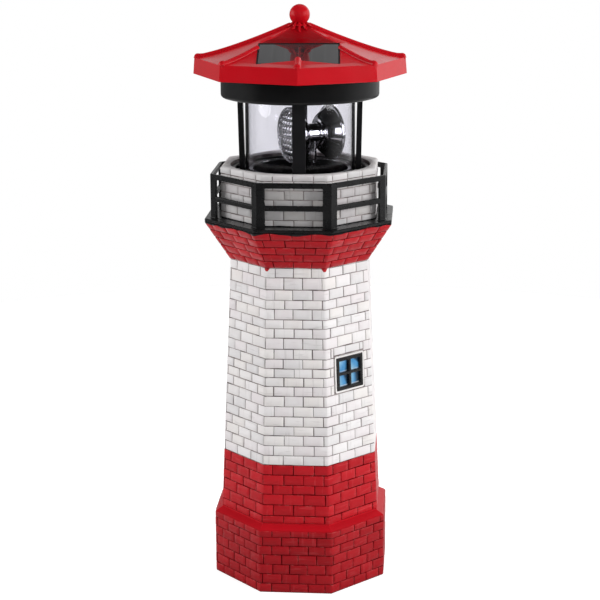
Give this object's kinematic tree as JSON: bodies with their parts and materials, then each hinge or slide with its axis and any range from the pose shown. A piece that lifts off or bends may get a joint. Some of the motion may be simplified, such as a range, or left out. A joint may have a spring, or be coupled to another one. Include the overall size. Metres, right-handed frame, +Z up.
{
  "type": "garden lighthouse ornament",
  "caption": "Octagonal brick lighthouse ornament with a railed gallery and a lift-out solar lantern: clear tube, rotating reflector beacon and a red pagoda roof with a solar panel.",
  "frame": {"origin": "centre of the base, on the surface that the tower stands on", "axes": "+Z up along the tower, -Y towards the front face of the tower and the solar panel, +X to the right as seen from the front"},
  "size_m": [0.13, 0.13, 0.36],
  "materials": {
    "painted_resin": "cast resin brickwork, painted in red and off-white bands over dark joints",
    "black_plastic": "satin black moulded plastic",
    "blue_panes": "blue painted panes, glossy",
    "clear_plastic": "clear moulded plastic",
    "red_plastic": "glossy red moulded plastic",
    "solar_glass": "dark glossy solar cell under clear resin",
    "rubber": "soft black",
    "chrome": "bright metallised",
    "white_nylon": "natural nylon",
    "steel": "zinc plated",
    "brass": "machined",
    "led_resin": "diffused clear resin",
    "cell_sleeve": "plain green sleeve",
    "circuit_green": "lacquered board"
  },
  "bodies": {
    "tower": {"tower_shell": "painted_resin", "base_cover": "black_plastic", "gallery_railing": "black_plastic", "window_frame": "black_plastic", "window_panes": "blue_panes"},
    "lantern": {"lantern_frame": "black_plastic", "lens_tube": "clear_plastic", "tube_seal": "rubber", "deck_plate": "black_plastic", "ring_housing": "black_plastic", "roof_cap": "red_plastic", "finial": "red_plastic", "solar_panel": "solar_glass", "panel_gasket": "rubber", "roof_screws": "steel", "frame_screws": "steel", "lower_housing": "black_plastic", "gear_plate": "white_nylon", "motor": "steel", "idler_pin": "steel", "led_stem": "white_nylon", "led_lamp": "led_resin", "battery_cell": "cell_sleeve", "battery_contacts": "steel", "battery_door": "black_plastic", "door_screw": "steel", "control_board": "circuit_green", "switch_case": "steel"},
    "beacon": {"beacon_gear": "white_nylon", "beacon_hub": "chrome", "reflector_left": "chrome", "reflector_right": "chrome", "lens_left": "clear_plastic", "lens_right": "clear_plastic"},
    "idler": {"idler_gear": "white_nylon"},
    "pinion": {"motor_pinion": "brass"},
    "switch": {"switch_slider": "black_plastic"}
  },
  "joints": [
    {"name": "lantern_lift", "type": "slide", "parent": "tower", "child": "lantern", "axis": [0, 0, 1], "range_m": [0, 0.045]},
    {"name": "beacon_spin", "type": "hinge", "parent": "lantern", "child": "beacon", "pos_m": [0.00649, 0.00034, 0.2814], "axis": [0, 0, 1], "continuous": true},
    {"name": "idler_spin", "type": "hinge", "parent": "lantern", "child": "idler", "pos_m": [-0.00032, 0.01082, 0.2485], "axis": [0, 0, 1], "continuous": true},
    {"name": "pinion_spin", "type": "hinge", "parent": "lantern", "child": "pinion", "pos_m": [-0.00952, 0.00692, 0.247], "axis": [0, 0, 1], "continuous": true},
    {"name": "switch_slide", "type": "slide", "parent": "lantern", "child": "switch", "axis": [0.9986, 0.0523, 0], "range_m": [0, 0.0025]}
  ],
  "couplings": [
    {"joint": "idler_spin", "follows": "beacon_spin", "ratio": -4},
    {"joint": "pinion_spin", "follows": "beacon_spin", "ratio": 16}
  ]
}
